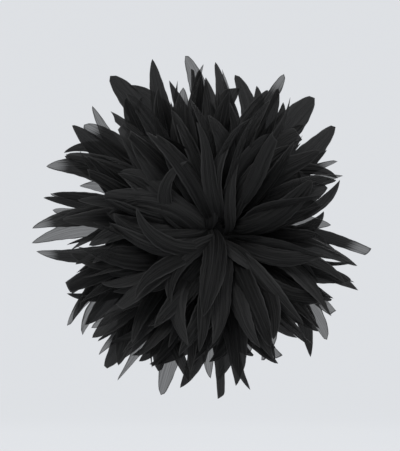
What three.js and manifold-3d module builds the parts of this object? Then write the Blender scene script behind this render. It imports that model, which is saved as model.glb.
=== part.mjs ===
// Petal corsage brooch: rows of fabric petal sprays sewn over a padded dome, on a buckram disc
// and a felt backing, with a locking bar pin on the back. Millimetres.
//
// The pieces are laid out in a working frame whose +Z runs out of the front of the flower and
// whose origin is the centre of the felt's rear face. The outer group turns that frame so that
// the flower faces -Y and +Z is up, as it is worn.

import * as THREE from 'three';
import { mergeVertices } from 'three/addons/utils/BufferGeometryUtils.js';
import Module from 'manifold-3d';

const wasm = await Module();
wasm.setup();

// ---- Driving dimensions ----------------------------------------------------------------------

const CLEARANCE = 0.3; // between a piece and the one that it rests on or turns in

const FELT_RADIUS = 32;
const FELT_THICKNESS = 2;
const BUCKRAM_RADIUS = 30;
const BUCKRAM_THICKNESS = 1.5;
const DOME_RADIUS = 24;
const DOME_HEIGHT = 20;

const SPRAYS_IN_ROW = [9, 9, 8, 7, 6, 4, 3]; // from the rim up to the crown
const PETALS_PER_SPRAY = 5;
const FIRST_ROW_RISE = 5; // degrees up the dome's profile
const ROW_RISE_STEP = 12;
const RIM_PETAL_LENGTH = 76;
const CROWN_PETAL_LENGTH = 62;
const RIM_TIP_TILT = -6; // degrees that a petal's tip rises out of the flower's plane
const CROWN_TIP_TILT = 18;
const PETAL_THICKNESS = 0.8;
const PETAL_TIP_WIDTH = 1.2;
const ROOT_FILL = 0.72; // share of the room between neighbours that a petal fills at its root,
const BELLY_FILL = 0.94; // a third of the way out
const SHOULDER_FILL = 0.6; // and two thirds of the way out
const PETAL_ROLL = 18; // degrees that each petal is rolled, so that neighbours shingle
const PETAL_STEPS = 3;
const SHORTEST_PETAL = 0.84; // share of the row's full length
const PETAL_TILT_SPREAD = 1; // degrees either way

const ROOT_BAND_HEIGHT = 3;
const ROOT_BAND_THICKNESS = 1.2;
const ROOT_BAND_STEPS = 4;
const ROOT_BAND_GAP = 0.5; // between neighbouring sprays of a row

const TUFT_PETALS = 8;
const TUFT_RADIUS = 3;
const TUFT_ROOT_THICKNESS = 1.6;
const TUFT_TILT = 84;
const TUFT_TIP_TILT = 26;
const TUFT_PETAL_LENGTH = 60;
const TUFT_PETAL_WIDTH = 7;
const TUFT_ROOT_WIDTH = 2.4;
const TUFT_ROOT_CIRCLE = 1.8; // radius of the circle that the tuft's petals stand on

const CROWN_LEAN_X = 12; // how far the crown leans off the axis
const CROWN_LEAN_Y = -5.5;
const LEAN_HEIGHT = 36; // height over the dome's base at which the lean is full

const BAR_LENGTH = 46;
const BAR_WIDTH = 5;
const BAR_THICKNESS = 0.8;
const BAR_RISE = 12; // bar's centre line above the flower's centre
const STITCH_HOLE_RADIUS = 0.7;
const STITCH_HOLE_X = 12;
const STITCH_HOLE_OFFSET = 1.1;
const THREAD_RADIUS = 0.3;

const STEM_STAND = 6.6; // stem's centre line behind the felt
const STEM_RADIUS = 0.45;
const STEM_POINT_LENGTH = 6;
const STEM_POINT_RADIUS = 0.08;
const STEM_OVERRUN = 3.8; // how far the point passes the catch's centre
const KNUCKLE_RADIUS = 1.6;
const KNUCKLE_WIDTH = 1.8;
const RIVET_RADIUS = 0.6;
const RIVET_HEAD_RADIUS = 1.1;
const RIVET_HEAD_THICKNESS = 0.5;
const EAR_THICKNESS = 0.7;
const EAR_WIDTH = 3.8;
const EAR_INSET = 2.5; // hinge's centre in from the bar's end

const CATCH_INSET = 3.7; // catch's centre in from the bar's other end
const ROLLER_BORE = 1;
const ROLLER_WALL = 1;
const ROLLER_OVERHANG = 0.4;
const ROLLER_MOUTH = 100; // degrees open
const TAB_WIDTH = 1.2;
const TAB_THICKNESS = 1;
const TAB_REACH = 5.2;
const TAB_ANGLE = 75; // degrees round from the mouth, with the catch open
const RING_WALL = 0.7;
const RING_LENGTH = 1.5;
const RING_MOUTH = 110;
const CATCH_FOOT_WIDTH = 4;
const CATCH_FOOT_THICKNESS = 0.7;
const CATCH_POST_WIDTH = 1.6;

// ---- Worked-out places -----------------------------------------------------------------------

const BUCKRAM_BASE = FELT_THICKNESS + CLEARANCE;
const DOME_BASE = BUCKRAM_BASE + BUCKRAM_THICKNESS + CLEARANCE;
const BAR_FRONT = -CLEARANCE;
const BAR_BACK = BAR_FRONT - BAR_THICKNESS;
const HINGE_X = -BAR_LENGTH / 2 + EAR_INSET;
const CATCH_X = BAR_LENGTH / 2 - CATCH_INSET;
const ROLLER_RADIUS = ROLLER_BORE + ROLLER_WALL;
const RING_BORE = ROLLER_RADIUS + CLEARANCE;
const TAB_SLOT = TAB_WIDTH + 2 * CLEARANCE;
const CATCH_LENGTH = 2 * RING_LENGTH + TAB_SLOT;

const radians = THREE.MathUtils.degToRad;

// ---- Materials -------------------------------------------------------------------------------

const petalCloth = { color: 0x17181a, roughness: 0.75, metalness: 0, side: THREE.DoubleSide };
const felt = { color: 0x141415, roughness: 0.95, metalness: 0 };
const buckram = { color: 0x232325, roughness: 0.9, metalness: 0 };
const wadding = { color: 0x1c1c1e, roughness: 1, metalness: 0 };
const steel = { color: 0xb9bcc0, roughness: 0.28, metalness: 1 };
const thread = { color: 0x101011, roughness: 0.7, metalness: 0 };

// ---- Solids ----------------------------------------------------------------------------------

// A manifold solid of a closed three.js geometry, its shared vertices merged and the empty
// triangles at a lathe's poles left out.
function solidOf(geometry) {
  const bare = geometry.clone();
  bare.deleteAttribute('normal');
  bare.deleteAttribute('uv');
  const merged = mergeVertices(bare, 1e-4);
  const corners = merged.index.array;
  const kept = [];
  for (let i = 0; i < corners.length; i += 3) {
    const [a, b, c] = corners.slice(i, i + 3);
    if (a !== b && b !== c && c !== a) kept.push(a, b, c);
  }
  const mesh = new wasm.Mesh({
    numProp: 3,
    vertProperties: new Float32Array(merged.attributes.position.array),
    triVerts: new Uint32Array(kept),
  });
  return new wasm.Manifold(mesh);
}

function geometryOf(solid) {
  const { vertProperties, triVerts } = solid.getMesh();
  const geometry = new THREE.BufferGeometry();
  geometry.setAttribute('position', new THREE.BufferAttribute(vertProperties, 3));
  geometry.setIndex(new THREE.BufferAttribute(triVerts, 1));
  geometry.computeVertexNormals();
  return geometry;
}

function joined(geometries) {
  return geometryOf(geometries.map(solidOf).reduce((whole, next) => whole.add(next)));
}

function cut(geometry, cutters) {
  return geometryOf(cutters.map(solidOf).reduce((whole, next) => whole.subtract(next), solidOf(geometry)));
}

// A box given by its lowest and highest corners.
function boxBetween(low, high) {
  const size = high.map((value, axis) => value - low[axis]);
  const centre = high.map((value, axis) => (value + low[axis]) / 2);
  return new THREE.BoxGeometry(...size).translate(...centre);
}

// A disc about the Z axis. Its end faces fan out from the centre.
function disc(radius, thickness, base, sides = 32) {
  const geometry = new THREE.CylinderGeometry(radius, radius, thickness, sides);
  return geometry.rotateX(Math.PI / 2).translate(0, 0, base + thickness / 2);
}

// A round bar along Y, centred at a point.
function crossBar(radius, length, x, y, z, sides = 12) {
  return new THREE.CylinderGeometry(radius, radius, length, sides).translate(x, y, z);
}

function named(name, geometry, look) {
  const mesh = new THREE.Mesh(geometry, new THREE.MeshStandardMaterial(look));
  mesh.name = name;
  return mesh;
}

// ---- Petals ----------------------------------------------------------------------------------

// An even, repeatable scatter between 0 and 1: the golden-ratio sequence, offset for each row.
function scatter(index, row) {
  const value = index * 0.618034 + row * 0.414214;
  return value - Math.floor(value);
}

// A petal's centre line is an arc in the plane of the axis and one radius. It leaves the point
// (radius, height) at the tilt and bends outward by the droop over its length.
function arcPoint(petal, share) {
  const turn = petal.tilt - petal.droop * share;
  const bendRadius = petal.length / petal.droop;
  return {
    radius: petal.radius + bendRadius * (Math.sin(petal.tilt) - Math.sin(turn)),
    height: petal.height + bendRadius * (Math.cos(turn) - Math.cos(petal.tilt)),
    turn,
  };
}

// The crown leans off the axis: a sideways shift that grows smoothly with height, then stays full.
function lean(point) {
  const share = THREE.MathUtils.smoothstep(point.z, DOME_BASE, DOME_BASE + LEAN_HEIGHT);
  point.x += CROWN_LEAN_X * share;
  point.y += CROWN_LEAN_Y * share;
  return point;
}

// A strip along the petal's arc, rolled about its own centre line. It has a width for each step.
function petalStrip(petal) {
  const strip = new THREE.BoxGeometry(1, 1, 1, 1, PETAL_STEPS, 1);
  const places = strip.attributes.position;
  const roll = radians(PETAL_ROLL);
  const point = new THREE.Vector3();
  for (let i = 0; i < places.count; i += 1) {
    const share = places.getY(i) + 0.5;
    const { radius, height, turn } = arcPoint(petal, share);
    const across = places.getX(i) * petal.widths[Math.round(share * PETAL_STEPS)];
    const through = places.getZ(i) * PETAL_THICKNESS;
    const sideways = -across * Math.cos(roll) + through * Math.sin(roll);
    const lift = across * Math.sin(roll) + through * Math.cos(roll);
    point.set(radius - lift * Math.sin(turn), sideways, height + lift * Math.cos(turn));
    point.applyAxisAngle(new THREE.Vector3(0, 0, 1), petal.bearing);
    lean(point);
    places.setXYZ(i, point.x, point.y, point.z);
  }
  return strip;
}

// Where a row is sewn: a point on the dome's profile and the dome's outward tilt there.
function rowSeat(row) {
  const rise = radians(FIRST_ROW_RISE + ROW_RISE_STEP * row);
  return {
    radius: DOME_RADIUS * Math.cos(rise),
    height: DOME_BASE + DOME_HEIGHT * Math.sin(rise),
    tilt: Math.atan2(DOME_RADIUS * Math.sin(rise), DOME_HEIGHT * Math.cos(rise)),
  };
}

function rowShare(row) {
  return row / SPRAYS_IN_ROW.length;
}

// The petal's widths follow the room between neighbours: narrow at the root, a full belly,
// and a blunt point.
function petalInRow(row, index) {
  const seat = rowSeat(row);
  const count = SPRAYS_IN_ROW[row] * PETALS_PER_SPRAY;
  const depth = CLEARANCE + ROOT_BAND_THICKNESS / 2;
  const crownward = rowShare(row) ** 2;
  const fullLength = RIM_PETAL_LENGTH + (CROWN_PETAL_LENGTH - RIM_PETAL_LENGTH) * crownward;
  const petal = {
    radius: seat.radius + depth * Math.cos(seat.tilt),
    height: seat.height + depth * Math.sin(seat.tilt),
    tilt: seat.tilt,
    droop: seat.tilt - radians(RIM_TIP_TILT + (CROWN_TIP_TILT - RIM_TIP_TILT) * rowShare(row)),
    length: fullLength * (SHORTEST_PETAL + (1 - SHORTEST_PETAL) * scatter(index, row)),
    bearing: ((index + 0.5) / count) * 2 * Math.PI,
  };
  const room = (share) => (2 * Math.PI * arcPoint(petal, share).radius) / count;
  petal.widths = [
    ROOT_FILL * room(0),
    BELLY_FILL * room(1 / 3),
    SHOULDER_FILL * room(2 / 3),
    PETAL_TIP_WIDTH,
  ];
  petal.tilt += radians(PETAL_TILT_SPREAD) * (2 * scatter(index * 3, row) - 1);
  return petal;
}

// The gathered roots of one spray: a short band that follows the dome round one stretch of its row.
function rootBand(row, spray) {
  const seat = rowSeat(row);
  const share = (2 * Math.PI) / SPRAYS_IN_ROW[row];
  const span = share - ROOT_BAND_GAP / seat.radius;
  const band = new THREE.BoxGeometry(1, 1, 1, ROOT_BAND_STEPS, 1, 1);
  const places = band.attributes.position;
  const point = new THREE.Vector3();
  for (let i = 0; i < places.count; i += 1) {
    const bearing = share * (spray + 0.5) + span * places.getX(i);
    const up = places.getY(i) * ROOT_BAND_HEIGHT;
    const out = CLEARANCE + (places.getZ(i) + 0.5) * ROOT_BAND_THICKNESS;
    const radius = seat.radius + out * Math.cos(seat.tilt) - up * Math.sin(seat.tilt);
    const height = seat.height + out * Math.sin(seat.tilt) + up * Math.cos(seat.tilt);
    point.set(radius * Math.cos(bearing), radius * Math.sin(bearing), height);
    lean(point);
    places.setXYZ(i, point.x, point.y, point.z);
  }
  return band;
}

function petalSpray(row, spray) {
  const first = spray * PETALS_PER_SPRAY;
  const strips = Array.from({ length: PETALS_PER_SPRAY }, (_, i) => petalStrip(petalInRow(row, first + i)));
  return joined([rootBand(row, spray), ...strips]);
}

function crownTuft() {
  const base = DOME_BASE + DOME_HEIGHT + CLEARANCE;
  const root = disc(TUFT_RADIUS, TUFT_ROOT_THICKNESS, base, 12);
  const places = root.attributes.position;
  for (let i = 0; i < places.count; i += 1) {
    const point = lean(new THREE.Vector3().fromBufferAttribute(places, i));
    places.setXYZ(i, point.x, point.y, point.z);
  }
  const strips = Array.from({ length: TUFT_PETALS }, (_, i) =>
    petalStrip({
      radius: TUFT_ROOT_CIRCLE,
      height: base + TUFT_ROOT_THICKNESS / 2,
      tilt: radians(TUFT_TILT),
      droop: radians(TUFT_TILT - TUFT_TIP_TILT),
      length: TUFT_PETAL_LENGTH * (SHORTEST_PETAL + (1 - SHORTEST_PETAL) * scatter(i, SPRAYS_IN_ROW.length)),
      bearing: ((i + 0.5) / TUFT_PETALS) * 2 * Math.PI,
      widths: [TUFT_ROOT_WIDTH, TUFT_PETAL_WIDTH, TUFT_PETAL_WIDTH, PETAL_TIP_WIDTH],
    }),
  );
  return joined([root, ...strips]);
}

// ---- Base ------------------------------------------------------------------------------------

function coreDome() {
  const steps = 6;
  const profile = [new THREE.Vector2(0, DOME_BASE)];
  for (let i = 0; i <= steps; i += 1) {
    const rise = (i / steps) * (Math.PI / 2);
    const radius = i === steps ? 0 : DOME_RADIUS * Math.cos(rise);
    profile.push(new THREE.Vector2(radius, DOME_BASE + DOME_HEIGHT * Math.sin(rise)));
  }
  const turned = new THREE.LatheGeometry(profile, 24).rotateX(Math.PI / 2);
  const places = turned.attributes.position;
  for (let i = 0; i < places.count; i += 1) {
    const point = lean(new THREE.Vector3().fromBufferAttribute(places, i));
    places.setXYZ(i, point.x, point.y, point.z);
  }
  return joined([turned]);
}

// ---- Bar pin ---------------------------------------------------------------------------------

const EAR_GAP = KNUCKLE_WIDTH + 2 * CLEARANCE;

function hingeEar(side) {
  const inner = BAR_RISE + (side * EAR_GAP) / 2;
  const outer = inner + side * EAR_THICKNESS;
  return boxBetween(
    [HINGE_X - EAR_WIDTH / 2, Math.min(inner, outer), -STEM_STAND - EAR_WIDTH / 2],
    [HINGE_X + EAR_WIDTH / 2, Math.max(inner, outer), BAR_FRONT],
  );
}

function stitchPlaces() {
  return [-1, 1].flatMap((end) => [-1, 1].map((side) => ({ x: end * STITCH_HOLE_X, side })));
}

function pinBar() {
  const bar = boxBetween(
    [-BAR_LENGTH / 2, BAR_RISE - BAR_WIDTH / 2, BAR_BACK],
    [BAR_LENGTH / 2, BAR_RISE + BAR_WIDTH / 2, BAR_FRONT],
  );
  const stitchHoles = stitchPlaces().map(({ x, side }) =>
    disc(STITCH_HOLE_RADIUS, 4 * BAR_THICKNESS, BAR_BACK - BAR_THICKNESS, 10)
      .translate(x, BAR_RISE + side * STITCH_HOLE_OFFSET, 0));
  const rivetHole = crossBar(RIVET_RADIUS + CLEARANCE, 2 * BAR_WIDTH, HINGE_X, BAR_RISE, -STEM_STAND);
  return cut(joined([bar, hingeEar(-1), hingeEar(1)]), [...stitchHoles, rivetHole]);
}

function hingeRivet() {
  const headStart = EAR_GAP / 2 + EAR_THICKNESS + CLEARANCE;
  const headMiddle = headStart + RIVET_HEAD_THICKNESS / 2;
  const shank = crossBar(RIVET_RADIUS, 2 * headStart + RIVET_HEAD_THICKNESS, HINGE_X, BAR_RISE, -STEM_STAND);
  const heads = [-1, 1].map((side) =>
    crossBar(RIVET_HEAD_RADIUS, RIVET_HEAD_THICKNESS, HINGE_X, BAR_RISE + side * headMiddle, -STEM_STAND));
  return joined([shank, ...heads]);
}

function pinStem() {
  const start = RIVET_RADIUS + CLEARANCE + STEM_RADIUS;
  const end = CATCH_X - HINGE_X + STEM_OVERRUN;
  const profile = [
    [0, start],
    [STEM_RADIUS, start],
    [STEM_RADIUS, end - STEM_POINT_LENGTH],
    [STEM_POINT_RADIUS, end],
    [0, end],
  ].map(([radius, along]) => new THREE.Vector2(radius, along));
  const wire = new THREE.LatheGeometry(profile, 10).rotateZ(-Math.PI / 2);
  wire.translate(HINGE_X, BAR_RISE, -STEM_STAND);
  const knuckle = crossBar(KNUCKLE_RADIUS, KNUCKLE_WIDTH, HINGE_X, BAR_RISE, -STEM_STAND, 16);
  const bore = crossBar(RIVET_RADIUS + CLEARANCE, 2 * KNUCKLE_WIDTH, HINGE_X, BAR_RISE, -STEM_STAND);
  return cut(joined([wire, knuckle]), [bore]);
}

// A C-shaped sleeve about the catch's axis, its mouth turned away from the bar.
function sleeve(bore, wall, mouth, length, middle) {
  const half = radians(mouth / 2);
  const outline = new THREE.Shape();
  outline.absarc(0, 0, bore + wall, half, 2 * Math.PI - half, false);
  outline.absarc(0, 0, bore, 2 * Math.PI - half, half, true);
  const body = new THREE.ExtrudeGeometry(outline, { depth: length, bevelEnabled: false, curveSegments: 7 });
  // The outline's +X, where the mouth is, becomes -Z, and the sleeve runs along X.
  body.translate(0, 0, -length / 2).rotateY(Math.PI / 2);
  return body.translate(middle, BAR_RISE, -STEM_STAND);
}

function catchBody() {
  const ringMiddle = (TAB_SLOT + RING_LENGTH) / 2;
  const rings = [-1, 1].map((side) =>
    sleeve(RING_BORE, RING_WALL, RING_MOUTH, RING_LENGTH, CATCH_X + side * ringMiddle));
  const footBack = BAR_BACK - CLEARANCE - CATCH_FOOT_THICKNESS;
  const foot = boxBetween(
    [CATCH_X - CATCH_LENGTH / 2, BAR_RISE - CATCH_FOOT_WIDTH / 2, footBack],
    [CATCH_X + CATCH_LENGTH / 2, BAR_RISE + CATCH_FOOT_WIDTH / 2, BAR_BACK - CLEARANCE],
  );
  const post = boxBetween(
    [CATCH_X - CATCH_LENGTH / 2, BAR_RISE - CATCH_POST_WIDTH / 2, -STEM_STAND + RING_BORE + RING_WALL / 3],
    [CATCH_X + CATCH_LENGTH / 2, BAR_RISE + CATCH_POST_WIDTH / 2, footBack + CATCH_FOOT_THICKNESS / 2],
  );
  return joined([foot, post, ...rings]);
}

function lockRoller() {
  const body = sleeve(ROLLER_BORE, ROLLER_WALL, ROLLER_MOUTH, CATCH_LENGTH + 2 * ROLLER_OVERHANG, CATCH_X);
  const tab = boxBetween(
    [-TAB_WIDTH / 2, -TAB_THICKNESS / 2, -TAB_REACH],
    [TAB_WIDTH / 2, TAB_THICKNESS / 2, -(ROLLER_BORE + ROLLER_WALL / 2)],
  );
  tab.rotateX(radians(TAB_ANGLE)).translate(CATCH_X, BAR_RISE, -STEM_STAND);
  return joined([body, tab]);
}

// A thread that comes up through its hole and goes down over the bar's edge.
function barStitch({ x, side }) {
  const inner = BAR_RISE + side * STITCH_HOLE_OFFSET;
  const outer = BAR_RISE + side * (BAR_WIDTH / 2 + CLEARANCE + THREAD_RADIUS);
  const top = BAR_BACK - CLEARANCE - THREAD_RADIUS;
  const route = [
    [inner, BAR_FRONT],
    [inner, BAR_BACK],
    [inner * 0.8 + outer * 0.2, top - CLEARANCE],
    [inner * 0.2 + outer * 0.8, top - CLEARANCE],
    [outer, BAR_BACK],
    [outer, BAR_FRONT],
  ].map(([y, z]) => new THREE.Vector3(x, y, z));
  const section = new THREE.Shape();
  section.absarc(0, 0, THREAD_RADIUS, 0, 2 * Math.PI, false);
  return new THREE.ExtrudeGeometry(section, {
    extrudePath: new THREE.CatmullRomCurve3(route),
    steps: 9,
    curveSegments: 3,
    bevelEnabled: false,
  });
}

// ---- Assembly --------------------------------------------------------------------------------

const brooch = new THREE.Group();
brooch.rotation.x = Math.PI / 2;

brooch.add(named('backing_felt', disc(FELT_RADIUS, FELT_THICKNESS, 0), felt));
brooch.add(named('buckram_disc', disc(BUCKRAM_RADIUS, BUCKRAM_THICKNESS, BUCKRAM_BASE), buckram));
brooch.add(named('core_dome', coreDome(), wadding));

SPRAYS_IN_ROW.forEach((sprays, row) => {
  for (let spray = 0; spray < sprays; spray += 1) {
    brooch.add(named(`petal_spray_${row + 1}_${spray + 1}`, petalSpray(row, spray), petalCloth));
  }
});
brooch.add(named('crown_tuft', crownTuft(), petalCloth));

brooch.add(named('pin_bar', pinBar(), steel));
brooch.add(named('hinge_rivet', hingeRivet(), steel));
brooch.add(named('pin_stem', pinStem(), steel));
brooch.add(named('catch_body', catchBody(), steel));
brooch.add(named('lock_roller', lockRoller(), steel));
stitchPlaces().forEach((place, i) => {
  brooch.add(named(`bar_stitch_${i + 1}`, barStitch(place), thread));
});

const part = new THREE.Group();
part.add(brooch);

export default part;
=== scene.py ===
"""Petal corsage brooch: cloth petals, padded core, felt back and bar pin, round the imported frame.

Lengths are metres. Petals are worked out in the flower's own frame, whose +Z runs out of the
front of the flower, and are turned into the part's frame, where the flower faces -Y.
"""

import math

import bmesh
import bpy
import numpy as np
from bpy.props import FloatProperty, FloatVectorProperty, IntProperty, PointerProperty
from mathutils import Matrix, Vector


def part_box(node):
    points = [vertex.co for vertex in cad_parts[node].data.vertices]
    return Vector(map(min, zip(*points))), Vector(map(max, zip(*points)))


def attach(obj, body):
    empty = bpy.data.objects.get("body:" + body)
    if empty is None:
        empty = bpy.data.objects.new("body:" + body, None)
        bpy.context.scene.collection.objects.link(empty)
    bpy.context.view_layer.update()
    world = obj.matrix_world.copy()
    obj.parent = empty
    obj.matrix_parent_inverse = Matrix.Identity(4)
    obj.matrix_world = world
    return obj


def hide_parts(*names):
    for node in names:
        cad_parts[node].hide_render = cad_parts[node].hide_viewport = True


bl_info = {
    "name": "Petal Corsage Brooch",
    "version": (1, 0, 0),
    "blender": (4, 5, 0),
    "location": "View3D > Sidebar > Corsage",
    "description": "Builds a domed corsage of sheer cloth petals on its felt-backed bar pin",
    "category": "Add Mesh",
}

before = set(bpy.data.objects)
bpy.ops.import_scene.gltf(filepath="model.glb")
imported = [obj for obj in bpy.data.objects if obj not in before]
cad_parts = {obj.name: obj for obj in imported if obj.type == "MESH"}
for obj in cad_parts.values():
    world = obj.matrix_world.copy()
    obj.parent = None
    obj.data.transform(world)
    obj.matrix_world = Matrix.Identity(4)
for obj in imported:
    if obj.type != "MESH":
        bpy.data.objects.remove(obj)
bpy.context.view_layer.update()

MM = 0.001
UP = np.array([0.0, 0.0, 1.0])
SAME_POINT = 1e-6
FLOWER = "flower"
STEEL_NODES = ("pin_bar", "hinge_rivet", "pin_stem", "catch_body", "lock_roller")
ROWS = max(int(name.split("_")[2]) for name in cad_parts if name.startswith("petal_spray_"))
SPRAYS = [
    sum(name.startswith(f"petal_spray_{row + 1}_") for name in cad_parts) for row in range(ROWS)
]
DOME_LOW, DOME_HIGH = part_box("core_dome")
DOME_RADIUS = (DOME_HIGH.z - DOME_LOW.z) / 2
DOME_HEIGHT = DOME_HIGH.y - DOME_LOW.y
DOME_BASE = -DOME_HIGH.y

# How far the crown leans off the axis, and the height above the dome's base over which it does.
LEAN = np.array([0.012, -0.0055, 0.0])
LEAN_HEIGHT = 0.036


# ---- Settings ------------------------------------------------------------------------------


class PetalSettings(bpy.types.PropertyGroup):
    """Sizes, lie and cloth of the petals"""

    per_spray: IntProperty(
        name="Petals per spray", description="Petals gathered at one root", default=5
    )
    rim_length: FloatProperty(
        name="Rim length", description="Length of a rim petal", default=0.076, unit="LENGTH"
    )
    crown_length: FloatProperty(
        name="Crown length", description="Length of a crown petal", default=0.068, unit="LENGTH"
    )
    shortest: FloatProperty(
        name="Shortest", description="Shortest petal, as a share of its row's length", default=0.88
    )
    width: FloatProperty(
        name="Width", description="Widest part of a petal", default=0.0118, unit="LENGTH"
    )
    rim_width: FloatProperty(
        name="Rim width", description="Width of a rim petal, as a share of the width", default=1.06
    )
    crown_width: FloatProperty(
        name="Crown width", description="Width of a crown petal, as a share of the width", default=0.86
    )
    end_tilt: FloatVectorProperty(
        name="End tilt",
        description="Tilt of a rim and a crown petal's tip, in degrees",
        default=(-6, 18),
        size=2,
    )
    first_rise: FloatProperty(
        name="First row",
        description="Rim row's place up the dome",
        default=math.radians(5),
        subtype="ANGLE",
    )
    rise_step: FloatProperty(
        name="Row step",
        description="Step between rows up the dome",
        default=math.radians(12),
        subtype="ANGLE",
    )
    roll: FloatProperty(
        name="Roll", description="Mean roll of the petals", default=math.radians(14), subtype="ANGLE"
    )
    sheer_share: FloatProperty(
        name="Sheer share", description="Share of the petals that are one sheer layer", default=0.14
    )
    colour: FloatVectorProperty(
        name="Colour", description="Cloth colour", default=(0.0045, 0.0045, 0.0045), subtype="COLOR"
    )
    sheer_alpha: FloatProperty(name="Sheer cover", description="Cover of one sheer layer", default=0.78)


class BaseSettings(bpy.types.PropertyGroup):
    """Felt backing and bar pin"""

    felt_colour: FloatVectorProperty(
        name="Felt", description="Felt colour", default=(0.0085, 0.0085, 0.009), subtype="COLOR"
    )
    stitches: IntProperty(
        name="Edge stitches", description="Whip stitches round the felt", default=56
    )
    steel_colour: FloatVectorProperty(
        name="Steel", description="Plated steel colour", default=(0.62, 0.63, 0.65), subtype="COLOR"
    )


class StageSettings(bpy.types.PropertyGroup):
    """Camera and backdrop"""

    lens: FloatProperty(name="Lens", description="Focal length in millimetres", default=120)
    view_height: FloatProperty(
        name="View height", description="Height seen at the rim", default=0.2616, unit="LENGTH"
    )
    backdrop: FloatVectorProperty(
        name="Backdrop", description="Backdrop colour", default=(0.742, 0.762, 0.79), subtype="COLOR"
    )


# ---- Meshes --------------------------------------------------------------------------------


def to_part(points):
    """The flower frame turned a quarter about X: (x, y, z) becomes (x, -z, y)."""
    return np.stack([points[..., 0], -points[..., 2], points[..., 1]], -1)


def smooth_step(value):
    """Runs from 0 to 1 as three squares less two cubes."""
    share = np.clip(value, 0, 1)
    return share * share * (3 - 2 * share)


def lean(points):
    """Shifts points sideways as the crown leans off the axis, by their height above the dome's base."""
    return points + smooth_step((points[..., 2] - DOME_BASE) / LEAN_HEIGHT)[..., None] * LEAN


def grid_quads(rows, columns, closed=False):
    """Corner numbers of the quads of a grid numbered row by row; closed joins its last column to its
    first."""
    across = columns if closed else columns - 1
    i, j = np.meshgrid(np.arange(rows - 1), np.arange(across), indexing="ij")
    near, far = i * columns + j, i * columns + (j + 1) % columns
    return np.stack([near, far, far + columns, near + columns], -1).reshape(-1, 4)


def copied_quads(one, points, count):
    """The quads of several like grids, one after another, each of so many points."""
    return np.concatenate([one + k * points for k in range(count)])


def new_object(name, points, quads):
    """A smooth-shaded object of the given points and quads, at the origin."""
    mesh = bpy.data.meshes.new(name)
    points = np.ascontiguousarray(points.reshape(-1, 3), dtype=np.float32)
    mesh.vertices.add(len(points))
    mesh.vertices.foreach_set("co", points.ravel())
    mesh.loops.add(quads.size)
    mesh.loops.foreach_set("vertex_index", quads.ravel().astype(np.int32))
    mesh.polygons.add(len(quads))
    mesh.polygons.foreach_set("loop_start", np.arange(0, quads.size, 4, dtype=np.int32))
    mesh.update(calc_edges=True)
    mesh.validate()
    mesh.polygons.foreach_set("use_smooth", np.full(len(mesh.polygons), True))
    obj = bpy.data.objects.new(name, mesh)
    bpy.context.scene.collection.objects.link(obj)
    return obj


def weld(obj):
    """Merges points that lie together, which closes a surface's poles and a petal's tip."""
    mesh = bmesh.new()
    mesh.from_mesh(obj.data)
    bmesh.ops.remove_doubles(mesh, verts=mesh.verts, dist=SAME_POINT)
    mesh.to_mesh(obj.data)
    mesh.free()


def point_value(obj, name, values, shape):
    """A number on each point, from values spread over the grid's shape."""
    attribute = obj.data.attributes.new(name, "FLOAT", "POINT")
    spread = np.ascontiguousarray(np.broadcast_to(values, shape), dtype=np.float32)
    attribute.data.foreach_set("value", spread.ravel())


def point_uv(obj, name, uv):
    """A UV map whose corners take their vertex's place on the flat cloth."""
    layer = obj.data.uv_layers.new(name=name)
    corners = np.empty(len(obj.data.loops), np.int32)
    obj.data.loops.foreach_get("vertex_index", corners)
    layer.data.foreach_set("uv", uv.reshape(-1, 2)[corners].astype(np.float32).ravel())


# ---- Petals --------------------------------------------------------------------------------

# Points along and across a petal.
ALONG = 40
ACROSS = 21
PETAL_ALONG = np.linspace(0, 1, ALONG)
PETAL_ACROSS = np.linspace(-1, 1, ACROSS)

# Shares of a petal's length: what a square cut takes off the tip, where a sheer tip begins to thin, and
# over how much of the petal it thins.
SQUARE_CUT = 0.15
SHEER_FROM, SHEER_RUN = 0.72, 0.22

# The golden ratio's fraction, and the square root of two's, which shifts one row against another.
GOLDEN = 0.618034
ROW_OFFSET = 0.414214

SPRAY_SEED = 7
SEEDS_PER_ROW = 100
TUFT_SEED = 901


def scatter(index, row):
    """The golden-ratio sequence: an even, repeatable spread between 0 and 1."""
    return (index * GOLDEN + row * ROW_OFFSET) % 1.0


def half_turn(angle):
    """The angle brought within half a turn of zero."""
    return (angle + math.pi) % (2 * math.pi) - math.pi


def round_axis(angle):
    """Unit vectors in the flower's plane, at angles that run anticlockwise from +X as seen from the
    front."""
    return np.stack([np.cos(angle), np.sin(angle)], -1)


def petal_roots(p):
    """Where the petals are sewn down, before the crown leans: out by the radius, up by the height."""
    level = round_axis(p["bearing"]) * p["radius"][:, None]
    return np.concatenate([level, p["height"][:, None]], axis=1)


def petal_outline(along, point, blunt):
    """Width at each place along a petal, as a share of its widest: a narrow root, a full belly past the
    middle, and a tip that comes to a point, or is cut square where the cloth stops short of it."""
    reach = along * (1 - SQUARE_CUT * blunt)
    belly = np.maximum(np.sin(math.pi * reach**1.12), 0) ** point
    return np.clip(belly + 0.2 * (1 - reach) ** 3, 0, 1)


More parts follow.
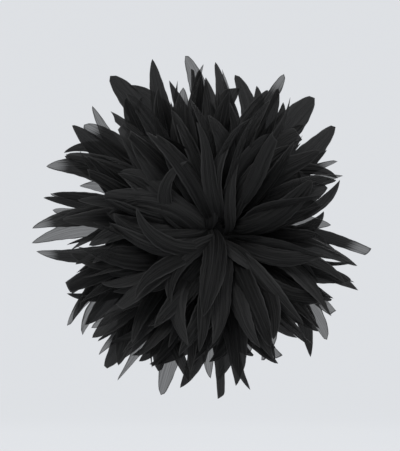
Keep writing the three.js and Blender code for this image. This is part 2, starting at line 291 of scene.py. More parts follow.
def centre_run(p):
    """Unit centre lines: the running sum of a direction whose tilt falls from root to tip by the droop,
    most of it early where the ease is above 1, with a hook at the tip, and whose heading turns by the
    sweep and sways once from side to side. Gives the run, the sideways and lifting unit vectors, and the
    direction."""
    along = PETAL_ALONG[None, :]
    keys = ("tilt", "droop", "ease", "hook", "bearing", "lead", "sweep", "sway")
    c = {key: p[key][:, None] for key in keys}
    tilt = c["tilt"] - c["droop"] * (1 - (1 - along) ** c["ease"]) - c["hook"] * along**4
    head = c["bearing"] + c["lead"] + c["sweep"] * along**1.5 + c["sway"] * np.sin(math.pi * 2 * along)
    radial = np.stack([np.cos(head), np.sin(head), 0 * head], -1)
    side = np.stack([-np.sin(head), np.cos(head), 0 * head], -1)
    rise, level = np.sin(tilt)[..., None], np.cos(tilt)[..., None]
    direction = level * radial + rise * UP
    lift = -rise * radial + level * UP
    steps = (direction[:, 1:] + direction[:, :-1]) / 2 / (ALONG - 1)
    run = np.concatenate([0 * direction[:, :1], np.cumsum(steps, axis=1)], axis=1)
    return run, side, lift, direction


def petal_grid(p):
    """Points of several petals at once, in the flower frame, with their places on the flat cloth and
    their width along the length.

    Across its centre line, the cloth is a straight chord, rolled by the roll and twist, and lifted off
    the chord by a cupped, a creased, a rippled and a pleated term. Its edges wave in and out, and its
    tip is cut on a slant. The petals then lean with the crown."""
    run, side, lift, direction = centre_run(p)
    centre = petal_roots(p)[:, None] + run * p["length"][:, None, None]
    centre, side, lift, direction = (a[:, :, None, :] for a in (centre, side, lift, direction))
    along = PETAL_ALONG[None, :, None]
    across = PETAL_ACROSS[None, None, :]
    c = {key: value[:, None, None] for key, value in p.items()}
    roll = (c["roll"] + c["twist"] * along**1.3)[..., None]
    chord = np.cos(roll) * side + np.sin(roll) * lift
    normal = np.cos(roll) * lift - np.sin(roll) * side
    width = c["width"] * petal_outline(along, c["point"], c["blunt"])
    free = np.minimum(along * 4, 1) * np.minimum((1 - along) * 6 + 0.15, 1)
    wave = np.sin(along * 41 + c["phase"] * 9) * np.sin(along * 23 + c["phase"] * 5)
    edge = 1 + 0.05 * wave * free
    bulge = -c["cup"] * across**2 - c["crease"] * np.abs(across)
    ripple = 0.06 * np.sin(along * c["waves"] + c["phase"] * 6) * across * free
    pleat = 0.022 * np.sin(across * (8 + 6 * c["phase"]) + c["phase"] * 11 + along * 1.5) * free
    bow = np.sqrt(1 - np.minimum(c["cup"] + c["crease"], 0.6) ** 2)
    shape = chord * (across * edge * bow / 2)[..., None] + normal * (bulge + ripple + pleat)[..., None]
    slant = c["slant"] * across * width / 2 * along**8
    points = centre + shape * width[..., None] + direction * slant[..., None]
    cloth = np.stack(np.broadcast_arrays(across * width / 2, along * c["length"]), -1)
    return lean(points), cloth, width


def row_seat(petals, row):
    """Place and outward tilt of a row on the dome's elliptic profile."""
    rise = petals.first_rise + petals.rise_step * row
    tilt = math.atan2(DOME_RADIUS * math.sin(rise), DOME_HEIGHT * math.cos(rise))
    return DOME_RADIUS * math.cos(rise), DOME_BASE + DOME_HEIGHT * math.sin(rise), tilt


# The petals of the lowest row, of the highest row and of the tuft, one for each place round the row:
# the tip's angle, anticlockwise from +X, and its distance from the axis, as seen from the front, how
# far the tip bends past that angle, the roll, the width as a share of the row's, whether the cloth is
# dense, sheer or sheer only at its tip, and how the tip is cut. Angles are degrees, and distances are
# millimetres.
RIM_PLAN = (
    (8, 67, -58, 20, 0.8, "sheer", "point"), (18, 72, 15, 50, 0.8, "dense", "point"),
    (25, 88, 0, 45, 0.9, "tip", "round"), (36, 97, 16, 10, 1.1, "dense", "round"),
    (48, 100, -2, 5, 1.45, "dense", "round"), (56, 87, 34, 20, 0.8, "dense", "point"),
    (61, 101, 2, 50, 0.9, "tip", "round"), (68, 88, 32, 15, 0.9, "dense", "point"),
    (77, 91, 38, 10, 0.95, "dense", "round"), (82, 92, 28, 15, 0.95, "sheer", "point"),
    (90, 90, 6, 10, 0.95, "dense", "point"), (95, 99, 27, 10, 0.95, "sheer", "round"),
    (106, 100, -3, 5, 0.95, "dense", "point"), (117, 93, 43, 15, 0.9, "dense", "point"),
    (121, 102, 12, 5, 1.25, "dense", "round"), (132, 94, -14, 45, 0.75, "sheer", "point"),
    (139, 89, 18, 15, 0.9, "tip", "round"), (142, 94, -2, 10, 1.1, "dense", "point"),
    (152, 90, 55, 25, 0.8, "dense", "point"), (159, 95, 30, 10, 1.1, "tip", "point"),
    (168, 89, 12, 40, 0.85, "sheer", "round"), (170, 93, -3, 55, 0.8, "dense", "point"),
    (174, 87, 6, 30, 0.85, "sheer", "round"), (181, 97, 19, 20, 0.9, "tip", "point"),
    (186, 98, 17, 20, 0.9, "sheer", "point"), (189, 97, -20, 30, 0.85, "tip", "point"),
    (207, 87, -50, 30, 0.7, "dense", "point"), (217, 97, 35, 45, 0.9, "tip", "round"),
    (223, 93, 25, 20, 0.85, "sheer", "round"), (232, 95, 0, 45, 0.85, "tip", "point"),
    (237, 99, 3, 10, 1.1, "dense", "round"), (242, 102, -15, 30, 0.95, "sheer", "point"),
    (254, 89, 22, 10, 1.0, "dense", "round"), (257, 101, 2, 10, 0.9, "sheer", "round"),
    (263, 95, -28, 30, 0.95, "dense", "point"), (274, 90, 10, 40, 0.9, "sheer", "point"),
    (278, 99, -10, 40, 0.85, "dense", "cut"), (287, 100, 24, 45, 0.85, "dense", "point"),
    (300, 90, 20, 20, 0.85, "sheer", "cut"), (310, 100, -33, 45, 0.8, "dense", "point"),
    (318, 100, -25, 10, 1.0, "sheer", "round"), (327, 93, -11, 25, 0.9, "tip", "cut"),
    (337, 90, -30, 30, 0.9, "sheer", "point"), (347, 85, -34, 55, 0.9, "dense", "round"),
    (351, 99, -12, 34, 0.6, "tip", "cut"),
)
CROWN_PLAN = (
    (22, 66, 34, 10, 1.3, "dense", "round"), (41, 68, -24, 15, 1.0, "dense", "point"),
    (52, 66, -40, 20, 0.85, "dense", "point"), (66, 64, -34, 25, 0.8, "dense", "point"),
    (92, 57, 34, 15, 0.9, "dense", "point"), (120, 60, 34, 10, 1.1, "dense", "point"),
    (146, 54, 44, 5, 1.0, "dense", "point"), (163, 56, 12, 5, 1.45, "dense", "round"),
    (178, 50, -40, 10, 1.0, "dense", "point"), (205, 62, -30, 5, 1.05, "dense", "point"),
    (229, 54, 36, 10, 0.9, "dense", "point"), (254, 56, 40, 10, 0.85, "dense", "point"),
    (276, 66, -36, 10, 1.2, "dense", "point"), (303, 60, -58, 15, 0.8, "dense", "point"),
    (334, 74, -30, 78, 0.8, "dense", "point"),
)
TUFT_PLAN = (
    (38, 34, 30, 8, 1.1, "dense", "round"), (60, 46, -10, 30, 0.75, "dense", "point"),
    (77, 36, 24, 12, 0.85, "dense", "point"), (164, 36, -70, 5, 0.9, "dense", "point"),
    (172, 48, -60, 8, 1.0, "dense", "point"), (250, 46, 46, 10, 0.9, "dense", "point"),
    (272, 50, -14, 3, 1.4, "dense", "point"), (318, 44, -40, 35, 0.85, "dense", "round"),
)
# The power of the belly's curve for each cut of the tip: a lower power makes a fuller tip.
POINTS = {"point": 0.74, "round": 0.46, "cut": 0.6}

# The radius of the outline in millimetres, and where it dips: the angle and the half width of each notch
# in degrees, and its depth in millimetres.
OUTLINE = 96
NOTCHES = (
    (12, 7, 30), (24, 5, 28), (36, 5, 34), (43, 4, 20), (62, 3, 8), (73, 6, 18), (98, 3, 12),
    (109, 3, 6), (131, 5, 22), (152, 3, 8), (163, 4, 26), (172, 4, 24), (205, 4, 12), (223, 4, 10),
    (232, 3, 8), (248, 4, 14), (264, 3, 12), (272, 4, 18), (291, 4, 18), (306, 5, 26), (320, 3, 8),
    (329, 4, 12), (343, 3, 6), (356, 7, 30),
)


def spray_petals(petals, row, spray):
    """The sizes and bends of one spray's petals: the row's own, with a seeded scatter about them that
    grows towards the crown. Rim and crown petals are then aimed by their plans, and the others trimmed
    to the outline."""
    count = petals.per_spray
    rng = np.random.default_rng(SEEDS_PER_ROW * row + spray + SPRAY_SEED)
    index = spray * count + np.arange(count)
    total = SPRAYS[row] * count
    share = row / ROWS
    radius, height, tilt = row_seat(petals, row)
    full = petals.rim_length + (petals.crown_length - petals.rim_length) * share**3
    bearing = (index + 0.5 + rng.uniform(-0.3, 0.3, count)) / total * 2 * math.pi
    tousle = 0.3 * np.sin(2 * bearing + 0.9 * row) + 0.28 * np.sin(5 * bearing + 1.7 * row)
    off_dome = 0.0006
    tilt_spread = math.radians(5)
    rim_end, crown_end = petals.end_tilt
    end_tilt = math.radians(rim_end + (crown_end - rim_end) * share)
    p = {
        "radius": np.full(count, radius + off_dome),
        "height": np.full(count, height) + off_dome * math.sin(tilt),
        "tilt": tilt + rng.uniform(-tilt_spread, tilt_spread, count),
        "droop": tilt - end_tilt + rng.normal(0.1 * share, 0.1 + 0.16 * share, count),
        "ease": rng.uniform(1, 1.2 + 0.6 * share, count),
        "hook": rng.normal(0.05, 0.25, count),
        "bearing": bearing,
        "lead": rng.normal(0, 0.08, count),
        "sweep": tousle + rng.normal(0, 0.45 + 0.35 * share, count),
        "sway": rng.normal(0, 0.08, count),
        "length": full * (petals.shortest + (1 - petals.shortest) * scatter(index, row)),
        "width": petals.width * rng.uniform(0.62, 1.22, count),
        "roll": petals.roll + rng.normal(0, 0.46, count),
        "twist": rng.normal(0, 0.6, count),
        "cup": rng.uniform(0.04, 0.2, count),
        "crease": rng.uniform(-0.03, 0.16, count),
        "waves": rng.uniform(5, 11, count),
        "phase": rng.uniform(0, 1, count),
        "point": rng.uniform(0.5, 0.9, count),
        "blunt": (rng.uniform(0, 1, count) < 0.12) * 1.0,
        "slant": rng.normal(0, 0.5, count),
        "dense": (rng.uniform(0, 1, count) > petals.sheer_share) * 1.0,
        "fade": (rng.uniform(0, 1, count) < petals.sheer_share) * 1.0,
    }
    if row == 0:
        p["width"] = np.full(count, petals.rim_width * petals.width)
        p["droop"] = 0.6 * p["droop"]
        p["hook"] = 0.3 * p["hook"]
        return aim(p, [RIM_PLAN[i] for i in index])
    if row == ROWS - 1:
        p["width"] = np.full(count, petals.crown_width * petals.width)
        p["ease"] = p["ease"] + 0.4
        p["droop"] = p["droop"] + 0.36
        p["sway"] = 2 * p["sway"]
        return aim(p, [CROWN_PLAN[i] for i in index])
    return trim(p)


def petal_tips(p):
    """Where the tips fall, leaning with the rest of the crown."""
    return lean(petal_roots(p) + centre_run(p)[0][:, -1] * p["length"][:, None])


def trim(p):
    """Shortens petals whose tips pass the outline, a circle less a bell-shaped dip for each notch. A
    pass takes off two fifths of a petal at most."""
    notch, half, depth = np.array(NOTCHES, float).T[:, :, None]
    passes, least = 4, 0.6
    for _ in range(passes):
        tip = petal_tips(p)
        angle = np.degrees(np.arctan2(tip[:, 1], tip[:, 0]))
        reach = np.hypot(tip[:, 0], tip[:, 1])
        away = (angle - notch + 180) % 360 - 180
        limit = (OUTLINE - (depth * np.exp(-((away / half) ** 2))).max(axis=0)) * MM
        share = (limit - p["radius"]) / (reach - p["radius"])
        p["length"] = p["length"] * np.clip(share, least, 1)
    return p


def aim(p, plan, pull=0.45):
    """Turns and sizes petals so that their tips fall where the plan puts them, seen from the front.

    Each root turns by the pull, a share of the way to its tip's angle. The sweep then bends the petal
    past that angle; the share of it that shows as the tip's turn off the chord is tip_turn. The lead
    turns the petal, and the length scales it, onto the chord from root to tip. Each pass allows for the
    lean at the height that the tip had in the last one. Every other petal rolls the other way."""
    angle, reach, bend, roll, width = (np.array([line[k] for line in plan], float) for k in range(5))
    angle, bend, reach = np.radians(angle), np.radians(bend), reach * MM
    p["bearing"] = p["bearing"] + pull * half_turn(angle - p["bearing"])
    start = petal_roots(p)[:, :2]
    target = round_axis(angle) * reach[:, None]
    shift = np.zeros_like(start)
    passes, tip_turn = 3, 0.6
    for _ in range(passes):
        chord = target - shift - start
        heading = np.arctan2(chord[:, 1], chord[:, 0])
        p["sweep"] = half_turn(angle + bend - heading) / tip_turn
        p["lead"] = np.zeros(len(plan))
        end = centre_run(p)[0][:, -1]
        p["lead"] = heading - np.arctan2(end[:, 1], end[:, 0])
        p["length"] = np.hypot(chord[:, 0], chord[:, 1]) / np.hypot(end[:, 0], end[:, 1])
        height = p["height"] + end[:, 2] * p["length"]
        shift = smooth_step((height - DOME_BASE) / LEAN_HEIGHT)[:, None] * LEAN[:2]
    p["roll"] = np.radians(roll) * np.where(np.arange(len(plan)) % 2, -1, 1)
    p["twist"] = 0.7 * p["twist"]
    p["width"] = p["width"] * width
    p["dense"] = np.array([line[5] != "sheer" for line in plan], float)
    p["fade"] = np.array([line[5] == "tip" for line in plan], float)
    p["point"] = np.array([POINTS[line[6]] for line in plan])
    p["blunt"] = np.array([line[6] == "cut" for line in plan], float)
    return p


def tuft_petals(petals):
    """The tuft's petals: nearly upright at roots that lie well round from their tips, so that they cross
    over the middle of the crown, and open all round."""
    count = len(TUFT_PLAN)
    rng = np.random.default_rng(TUFT_SEED)
    even = (np.arange(count) + 0.5) / count * 2 * math.pi
    p = {
        "radius": rng.uniform(0.003, 0.0075, count),
        "height": DOME_BASE + DOME_HEIGHT + rng.uniform(0.0006, 0.0022, count),
        "tilt": np.radians(rng.uniform(62, 80, count)),
        "droop": np.radians(rng.uniform(56, 78, count)),
        "ease": rng.uniform(1.2, 2.2, count),
        "hook": rng.normal(0.1, 0.15, count),
        "bearing": even + np.radians(rng.choice((-95, 95, 165), count)),
        "sway": rng.normal(0, 0.2, count),
        "width": np.full(count, petals.crown_width * petals.width),
        "twist": rng.normal(0, 0.5, count),
        "cup": rng.uniform(0.05, 0.2, count),
        "crease": rng.uniform(0, 0.2, count),
        "waves": rng.uniform(5, 10, count),
        "phase": rng.uniform(0, 1, count),
        "slant": np.zeros(count),
    }
    return aim(p, TUFT_PLAN, pull=0.12)


def petal_sheet(name, p, material):
    """One gathered spray. Its points carry the distance in from the cut edge, how dense the cloth is and
    a tone of each petal's own."""
    points, cloth, width = petal_grid(p)
    count = len(p["length"])
    quads = copied_quads(grid_quads(ALONG, ACROSS), ALONG * ACROSS, count)
    obj = new_object(name, to_part(points), quads)
    point_uv(obj, "cloth", cloth)
    from_side = (1 - np.abs(PETAL_ACROSS)) * width / 2
    from_tip = (1 - PETAL_ALONG)[:, None] * 0.05
    tone = scatter(np.arange(count) * 3 + len(name), float(p["phase"][0]))
    thinned = smooth_step((PETAL_ALONG - SHEER_FROM) / SHEER_RUN)
    dense = np.maximum(p["dense"][:, None] - p["fade"][:, None] * thinned, 0)
    point_value(obj, "margin", np.minimum(from_side, from_tip), points.shape[:3])
    point_value(obj, "dense", dense[:, :, None], points.shape[:3])
    point_value(obj, "tone", tone[:, None, None], points.shape[:3])
    weld(obj)
    obj.data.materials.append(material)
    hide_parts(name.replace("cloth_", ""))
    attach(obj, FLOWER)


# ---- Materials -----------------------------------------------------------------------------


class Nodes:
    """Adds shader nodes to a new material and joins them."""

    def __init__(self, name):
        self.material = bpy.data.materials.new(name)
        self.material.use_nodes = True
        self.tree = self.material.node_tree
        self.shader = self.tree.nodes["Principled BSDF"]

    def add(self, kind, inputs=(), **settings):
        """A new node, whose inputs take either a socket's output or a constant."""
        node = self.tree.nodes.new(kind)
        for key, value in settings.items():
            setattr(node, key, value)
        for key, value in dict(inputs).items():
            if isinstance(value, bpy.types.NodeSocket):
                self.tree.links.new(value, node.inputs[key])
            else:
                node.inputs[key].default_value = value
        return node

    def set(self, **constants):
        """Sets the shader's own inputs to constants."""
        for key, value in constants.items():
            self.shader.inputs[key.replace("_", " ")].default_value = value

    def drive(self, key, socket):
        """Joins a socket to an input of the shader."""
        self.tree.links.new(socket, self.shader.inputs[key])

    def math(self, operation, first, second=0.5, clamp=False):
        """One operation on two numbers, each a socket or a constant."""
        return self.add(
            "ShaderNodeMath", {0: first, 1: second}, operation=operation, use_clamp=clamp
        ).outputs[0]

    def ramp(self, value, low, high, start=0.0, end=1.0):
        """Runs straight from low to high as the value runs from start to end."""
        return self.add(
            "ShaderNodeMapRange",
            {"Value": value, "From Min": start, "From Max": end, "To Min": low, "To Max": high},
        ).outputs["Result"]

    def object_place(self):
        """The place in the object's own coordinates."""
        return self.add("ShaderNodeTexCoord").outputs["Object"]

    def scaled(self, place, scale):
        """A place with each coordinate multiplied by its scale, which sets how fine a pattern is."""
        return self.add("ShaderNodeMapping", {"Vector": place, "Scale": scale}).outputs[0]

    def noise(self, place, scale=1, detail=2, **inputs):
        """Fractal noise between 0 and 1."""
        return self.add(
            "ShaderNodeTexNoise", {"Vector": place, "Scale": scale, "Detail": detail, **inputs}
        ).outputs[0]

    def weave(self, place, axes, threads):
        """A plain weave: the product of two sines, one along each axis, brought to between 0 and 1."""
        parts = self.add("ShaderNodeSeparateXYZ", {0: place})
        warp, weft = (
            self.math("SINE", self.math("MULTIPLY", parts.outputs[axis], threads)) for axis in axes
        )
        return self.ramp(self.math("MULTIPLY", warp, weft), 0, 1, -1, 1)

    def attribute(self, name):
        """A number that the mesh carries on its points."""
        return self.add("ShaderNodeAttribute", attribute_name=name).outputs["Fac"]

    def blend(self, share, first, second):
        """Runs from the first colour to the second as the share runs from 0 to 1."""
        node = self.add("ShaderNodeMix", data_type="RGBA")
        sockets = (node.inputs[0], node.inputs[6], node.inputs[7])
        for socket, value in zip(sockets, (share, first, second)):
            if isinstance(value, bpy.types.NodeSocket):
                self.tree.links.new(value, socket)
            else:
                socket.default_value = value
        return node.outputs[2]

    def bump(self, height, strength, distance):
        """Relief in the shader's normal."""
        inputs = {"Height": height, "Strength": strength, "Distance": distance}
        self.drive("Normal", self.add("ShaderNodeBump", inputs).outputs[0])


def finish_node(node, material):
    """Gives a node of the frame its only material."""
    node.data.materials.clear()
    node.data.materials.append(material)


def shade(colour, share):
    """The colour made lighter or darker, and opaque."""
    return (*(c * share for c in colour), 1.0)


def petal_cloth(petals):
    """Fine woven cloth: threads along and across the petal, and long creases whose pale streaks are
    partly the cloth's own tone and partly painted highlight. Its cut edge covers more, and a painted
    highlight makes it paler."""
    n = Nodes("petal_cloth")
    place = n.add("ShaderNodeUVMap", uv_map="cloth").outputs[0]
    grain = n.noise(n.scaled(place, (1700, 26, 1)), detail=3)
    crease = n.noise(n.scaled(place, (900, 16, 1)))
    weave = n.weave(place, (0, 1), 5200)
    tone, dense, margin = (n.attribute(name) for name in ("tone", "dense", "margin"))
    # Lengthwise streaks from grain, creases and each petal's tone: partly the cloth's own tone, partly
    # painted highlight standing in for light caught on wrinkles. The pale end, 3.1 times the cloth
    # colour, is the painted highlight.
    light = n.math("ADD", n.math("MULTIPLY", grain, 0.52), n.math("MULTIPLY", crease, 0.48))
    light = n.math("ADD", light, n.math("MULTIPLY", tone, 0.16))
    dark, pale = shade(petals.colour, 0.22), shade(petals.colour, 3.1)
    cloth = n.blend(n.ramp(light, 0, 1, 0.45, 0.69), dark, pale)
    # Painted highlight: a thin margin along each petal's edge is blended towards 6.6 times the cloth
    # colour, standing in for light caught on the cut edge.
    painted_edge_highlight = n.ramp(margin, 0.7, 0, 0.0001, 0.0006)
    n.drive("Base Color", n.blend(painted_edge_highlight, cloth, shade(petals.colour, 6.6)))
    n.drive("Roughness", n.ramp(grain, 0.5, 0.74, 0.25, 0.75))
    edge = n.ramp(margin, 1, 0, 0.00015, 0.0007)
    sheer = n.math("ADD", n.ramp(grain, -0.07, 0.07, 0.3, 0.7), petals.sheer_alpha)
    sheer = n.math("ADD", sheer, n.math("MULTIPLY", edge, 0.18))
    solid = n.math("ADD", n.math("MULTIPLY", dense, 0.4), sheer, clamp=True)
    n.drive("Alpha", n.math("MINIMUM", solid, 0.985))
    relief = n.math("MULTIPLY", n.math("ADD", crease, grain), 0.7)
    relief = n.math("ADD", relief, n.math("MULTIPLY", weave, 0.06))
    n.bump(relief, 0.9, 0.0014)
    n.set(Sheen_Weight=0.03, Sheen_Roughness=0.35, Specular_IOR_Level=0.12)
    n.shader.inputs["Sheen Tint"].default_value = (0.5, 0.5, 0.5, 1)
    return n.material


def felt_cloth(base):
    """Matted fibres: two scales of noise in colour and relief, with a pale fuzz of sheen."""
    n = Nodes("felt")
    place = n.object_place()
    fibre = n.noise(n.scaled(place, (900, 2600, 900)), detail=6, Distortion=1.4)
    patch = n.noise(place, 130, detail=3)
    light = n.math("ADD", n.math("MULTIPLY", fibre, 0.7), n.math("MULTIPLY", patch, 0.3))
    dark, pale = shade(base.felt_colour, 0.5), shade(base.felt_colour, 2.4)
    n.drive("Base Color", n.blend(n.ramp(light, 0, 1, 0.3, 0.7), dark, pale))
    n.drive("Roughness", n.ramp(fibre, 0.85, 1.0, 0.3, 0.7))
    n.bump(light, 0.8, 0.0005)
    n.set(Sheen_Weight=0.16, Sheen_Roughness=0.6, Specular_IOR_Level=0.15)
    n.shader.inputs["Sheen Tint"].default_value = (0.4, 0.4, 0.42, 1)
    return n.material


def stiff_mesh_cloth():
    """Buckram: an open square weave, stiffened and slightly shiny where the size has pooled."""
    n = Nodes("buckram")
    place = n.object_place()
    weave = n.weave(place, (0, 2), 5200)
    pooled = n.noise(place, 260)
    n.drive("Base Color", n.blend(weave, (0.012, 0.012, 0.013, 1), (0.035, 0.035, 0.037, 1)))
    n.drive("Roughness", n.ramp(pooled, 0.5, 0.9, 0.35, 0.65))
    n.bump(weave, 0.6, 0.0002)
    return n.material


def plated_steel(base):
    """Nickel plate over pressed steel: fine drawing lines and faint, duller smears."""
    n = Nodes("plated_steel")
    place = n.object_place()
    lines = n.noise(n.scaled(place, (240, 9000, 9000)))
    smear = n.noise(place, 420, detail=4)
    dull, bright = shade(base.steel_colour, 0.82), shade(base.steel_colour, 1.08)
    n.drive("Base Color", n.blend(n.ramp(smear, 0, 1, 0.35, 0.7), dull, bright))
    rough = n.math("ADD", n.ramp(lines, 0.16, 0.3, 0.3, 0.7), n.ramp(smear, -0.03, 0.08, 0.35, 0.7))
    n.drive("Roughness", rough)
    n.bump(lines, 0.12, 0.00002)
    n.set(Metallic=1.0)
    return n.material


def twisted_thread():
    """Two-ply sewing thread: slanting ridges round the strand."""
    n = Nodes("thread")
    slant = {"Vector": n.object_place(), "Rotation": (0.6, 0.6, 0.7)}
    turned = n.add("ShaderNodeMapping", slant).outputs[0]
    ridges = {"Vector": turned, "Scale": 1500, "Distortion": 1.2, "Detail": 1}
    ply = n.add("ShaderNodeTexWave", ridges).outputs[1]
    n.drive("Base Color", n.blend(ply, (0.008, 0.008, 0.009, 1), (0.04, 0.04, 0.043, 1)))
    n.drive("Roughness", n.ramp(ply, 0.75, 0.5))
    n.bump(ply, 0.6, 0.0001)
    n.set(Sheen_Weight=0.3)
    return n.material


def dome_cover_cloth():
    """The dome's cover: matt cotton in a close plain weave."""
    n = Nodes("dome_cover")
    place = n.object_place()
    tuck = n.noise(place, 300, detail=4)
    weave = n.weave(place, (0, 2), 7000)
    # Black cotton, made darker than the petal cloth: partly its own colour, partly painted shade for the
    # deep shadow the dome sits in among the petals.
    n.drive("Base Color", n.blend(tuck, (0.0015, 0.0015, 0.0016, 1), (0.005, 0.005, 0.0053, 1)))
    n.drive("Roughness", n.ramp(tuck, 0.8, 0.95))
    n.bump(n.math("ADD", tuck, n.math("MULTIPLY", weave, 0.2)), 0.6, 0.0004)
    return n.material


# ---- Operators -----------------------------------------------------------------------------


class CORSAGE_OT_petal_rows(bpy.types.Operator):
    """Makes each gathered spray of cloth petals"""

    bl_idname = "corsage.petal_rows"
    bl_label = "Petal Rows"

    def execute(self, context):
        petals = context.scene.corsage_petals
        material = petal_cloth(petals)
        for row, sprays in enumerate(SPRAYS):
            for spray in range(sprays):
                name = f"cloth_petal_spray_{row + 1}_{spray + 1}"
                petal_sheet(name, spray_petals(petals, row, spray), material)
        petal_sheet("cloth_crown_tuft", tuft_petals(petals), material)
        return {"FINISHED"}


class CORSAGE_OT_core(bpy.types.Operator):
    """Makes the padded dome that the rows are sewn to: an ellipse turned about the axis, with a flat
    floor and gathered tucks that are deepest half way up"""

    bl_idname = "corsage.core"
    bl_label = "Padded Core"

    def execute(self, context):
        columns, half_tucks = 96, 12
        rise = np.linspace(0, 1, 25)[:, None]
        turn = np.linspace(0, 2 * math.pi, columns, endpoint=False)[None, :]
        tuck = 0.992 - 0.012 * np.abs(np.sin(half_tucks * turn)) * np.sin(math.pi * rise)
        angle = rise * math.pi / 2
        radius = DOME_RADIUS * np.cos(angle) * tuck
        height = DOME_BASE + DOME_HEIGHT * np.sin(angle) * 0.985 + 0 * turn
        dome = np.stack([radius * np.cos(turn), radius * np.sin(turn), height], -1)
        floor = np.stack([0 * turn, 0 * turn, DOME_BASE + 0 * turn], -1)
        points = np.concatenate([floor, dome])
        quads = grid_quads(len(points), columns, closed=True)
        obj = new_object("dome_cover", to_part(lean(points)), quads)
        weld(obj)
        obj.data.materials.append(dome_cover_cloth())
        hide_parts("core_dome")
        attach(obj, FLOWER)
        return {"FINISHED"}


def stitch_loops(name, turn, radius, thick):
    """Whip stitches round a disc's edge, one at each angle: a thread's circular section carried along
    half an ellipse, which rises out of the disc's back, passes its edge on a slant and sinks into its
    front. The ends close inside the disc."""
    inset, thread, slant = 0.0026, 0.00028, 0.022
    proud = 0.7 * thread
    bend = np.linspace(-math.pi / 2, math.pi / 2, 13)[None, :]
    out = radius - inset + (inset + proud) * np.cos(bend)
    sink = 1 - 0.4 * smooth_step((np.abs(bend) - 1.2) / 0.35)
    depth = thick / 2 + (thick / 2 + proud) * np.sin(bend) * sink
    angle = turn[:, None] + slant * np.sin(bend)
    spine = np.stack([out * np.cos(angle), out * np.sin(angle), depth + 0 * angle], -1)
    along = np.gradient(spine, axis=1)
    along /= np.linalg.norm(along, axis=-1, keepdims=True)
    side = np.stack([-np.sin(angle), np.cos(angle), 0 * angle], -1)
    side -= (side * along).sum(-1, keepdims=True) * along
    side /= np.linalg.norm(side, axis=-1, keepdims=True)
    lift = np.cross(along, side)
    ring = np.linspace(0, 2 * math.pi, 6, endpoint=False)
    swell = thread * np.clip(np.cos(bend) * 8, 0, 1)
    tube = np.cos(ring)[:, None] * side[..., None, :] + np.sin(ring)[:, None] * lift[..., None, :]
    points = spine[..., None, :] + tube * swell[..., None, None]
    one = grid_quads(bend.size, ring.size, closed=True)
    quads = copied_quads(one, bend.size * ring.size, len(turn))
    obj = new_object(name, to_part(points), quads)
    weld(obj)
    return obj


class CORSAGE_OT_backing(bpy.types.Operator):
    """Makes the felt disc with its stitched edge, and finishes the buckram disc. The felt is a flat
    profile with a half-round edge, turned about the axis, and its radius waves a little"""

    bl_idname = "corsage.backing"
    bl_label = "Backing"

    def execute(self, context):
        base = context.scene.corsage_base
        low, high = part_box("backing_felt")
        radius, thick = (high.x - low.x) / 2, high.y - low.y
        columns = 192
        turn = np.linspace(0, 2 * math.pi, columns, endpoint=False)[None, :]
        edge = np.linspace(-math.pi / 2, math.pi / 2, 9)
        flat = np.linspace(0, radius - thick / 2, 12)
        rings = np.concatenate([flat, flat[-1] + np.cos(edge) * thick / 2, flat[::-1]])
        depth = np.concatenate([0 * flat, (np.sin(edge) + 1) * thick / 2, 0 * flat + thick])
        rings, depth = rings[:, None], depth[:, None]
        wave = 1 + 0.004 * np.sin(7 * turn) + 0.003 * np.sin(17 * turn + 1)
        rings = rings * wave
        points = np.stack([rings * np.cos(turn), rings * np.sin(turn), depth + 0 * turn], -1)
        quads = grid_quads(len(points), columns, closed=True)
        obj = new_object("felt_disc", to_part(points), quads[:, ::-1])
        weld(obj)
        obj.data.materials.append(felt_cloth(base))
        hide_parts("backing_felt")
        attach(obj, FLOWER)
        places = (np.arange(base.stitches) + 0.5) / base.stitches * 2 * math.pi
        obj = stitch_loops("edge_stitches", places, radius, thick)
        obj.data.materials.append(twisted_thread())
        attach(obj, FLOWER)
        finish_node(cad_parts["buckram_disc"], stiff_mesh_cloth())
        return {"FINISHED"}


class CORSAGE_OT_bar_pin(bpy.types.Operator):
    """Finishes the bar pin's metal and its stitches"""

    bl_idname = "corsage.bar_pin"
    bl_label = "Bar Pin"

    def execute(self, context):
        steel = plated_steel(context.scene.corsage_base)
        thread = twisted_thread()
        for name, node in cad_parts.items():
            if name in STEEL_NODES:
                finish_node(node, steel)
            if name.startswith("bar_stitch_"):
                finish_node(node, thread)
        return {"FINISHED"}


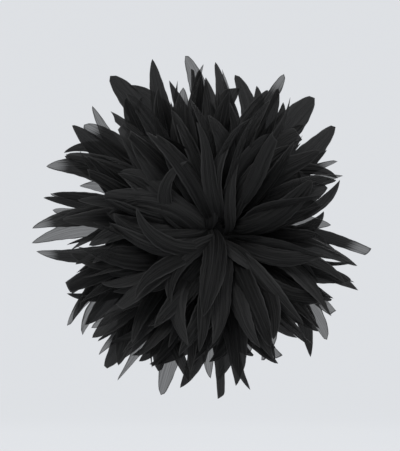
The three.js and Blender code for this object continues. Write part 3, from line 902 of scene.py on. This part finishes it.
class CORSAGE_OT_stage(bpy.types.Operator):
    """Makes the pale tent, the soft lights and the camera. The tent is a sphere whose lower part is
    pressed to a floor by a soft maximum"""

    bl_idname = "corsage.stage"
    bl_label = "Stage"

    def execute(self, context):
        stage = context.scene.corsage_stage
        scene = context.scene
        low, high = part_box("backing_felt")
        centre = (low + high) / 2
        rings, columns = 64, 96
        rise = np.linspace(-math.pi / 2, math.pi / 2, rings)[:, None]
        turn = np.linspace(0, 2 * math.pi, columns, endpoint=False)[None, :]
        size, floor, soft = 2.4, -0.42, 0.12
        sphere_z = size * np.sin(rise) + 0 * turn
        height = floor + soft * np.log1p(np.exp((sphere_z - floor) / soft))
        radius = np.maximum(size * np.cos(rise), 0.0005) + 0 * turn
        points = np.stack([radius * np.cos(turn), radius * np.sin(turn), height], -1)
        tent = new_object("tent", points, grid_quads(rings, columns, closed=True)[:, ::-1])
        n = Nodes("tent")
        n.set(Roughness=0.9, Emission_Strength=0.905)
        n.shader.inputs["Base Color"].default_value = (0.05, 0.05, 0.052, 1)
        n.shader.inputs["Emission Color"].default_value = (*stage.backdrop, 1)
        tent.data.materials.append(n.material)
        for name, place, width, power in (
            ("key", (-0.55, -1.15, 0.95), 0.7, 15),
            ("fill", (1.1, -0.9, 0.15), 0.9, 5),
            ("back", (0.3, 1.2, 0.9), 0.8, 8),
        ):
            data = bpy.data.lights.new(name, "AREA")
            data.shape = "DISK"
            data.size = width
            data.energy = power
            lamp = bpy.data.objects.new(name, data)
            lamp.location = centre + Vector(place)
            lamp.rotation_euler = (centre - lamp.location).to_track_quat("-Z", "Y").to_euler()
            lamp.visible_camera = False
            scene.collection.objects.link(lamp)
        world = bpy.data.worlds.new("pale")
        world.use_nodes = True
        world.node_tree.nodes["Background"].inputs["Color"].default_value = (*stage.backdrop, 1)
        scene.world = world
        scene.view_settings.view_transform = "Standard"
        data = bpy.data.cameras.new("camera")
        data.lens = stage.lens
        data.clip_start = 0.01
        camera = bpy.data.objects.new("camera", data)
        distance = stage.view_height * stage.lens / data.sensor_width
        rim_plane = -0.012
        camera.location = (centre.x, rim_plane - distance, centre.z)
        camera.rotation_euler = (math.pi / 2, 0, 0)
        scene.collection.objects.link(camera)
        scene.camera = camera
        return {"FINISHED"}


class CORSAGE_PT_sidebar(bpy.types.Panel):
    """The corsage's operators and settings"""

    bl_idname = "CORSAGE_PT_sidebar"
    bl_label = "Corsage"
    bl_space_type = "VIEW_3D"
    bl_region_type = "UI"
    bl_category = "Corsage"

    def draw(self, context):
        for settings in ("corsage_petals", "corsage_base", "corsage_stage"):
            group = getattr(context.scene, settings)
            for key in group.__annotations__:
                self.layout.prop(group, key)
        for operator in OPERATORS:
            self.layout.operator(operator.bl_idname)


SETTINGS = {
    "corsage_petals": PetalSettings,
    "corsage_base": BaseSettings,
    "corsage_stage": StageSettings,
}
OPERATORS = (
    CORSAGE_OT_core,
    CORSAGE_OT_petal_rows,
    CORSAGE_OT_backing,
    CORSAGE_OT_bar_pin,
    CORSAGE_OT_stage,
)


def register():
    for cls in (*SETTINGS.values(), *OPERATORS, CORSAGE_PT_sidebar):
        bpy.utils.register_class(cls)
    for name, group in SETTINGS.items():
        setattr(bpy.types.Scene, name, PointerProperty(type=group))


def unregister():
    for name in SETTINGS:
        delattr(bpy.types.Scene, name)
    for cls in reversed((*SETTINGS.values(), *OPERATORS, CORSAGE_PT_sidebar)):
        bpy.utils.unregister_class(cls)


def main():
    register()
    bpy.ops.corsage.core()
    bpy.ops.corsage.petal_rows()
    bpy.ops.corsage.backing()
    bpy.ops.corsage.bar_pin()
    bpy.ops.corsage.stage()
    bpy.context.view_layer.update()


if __name__ == "__main__":
    main()
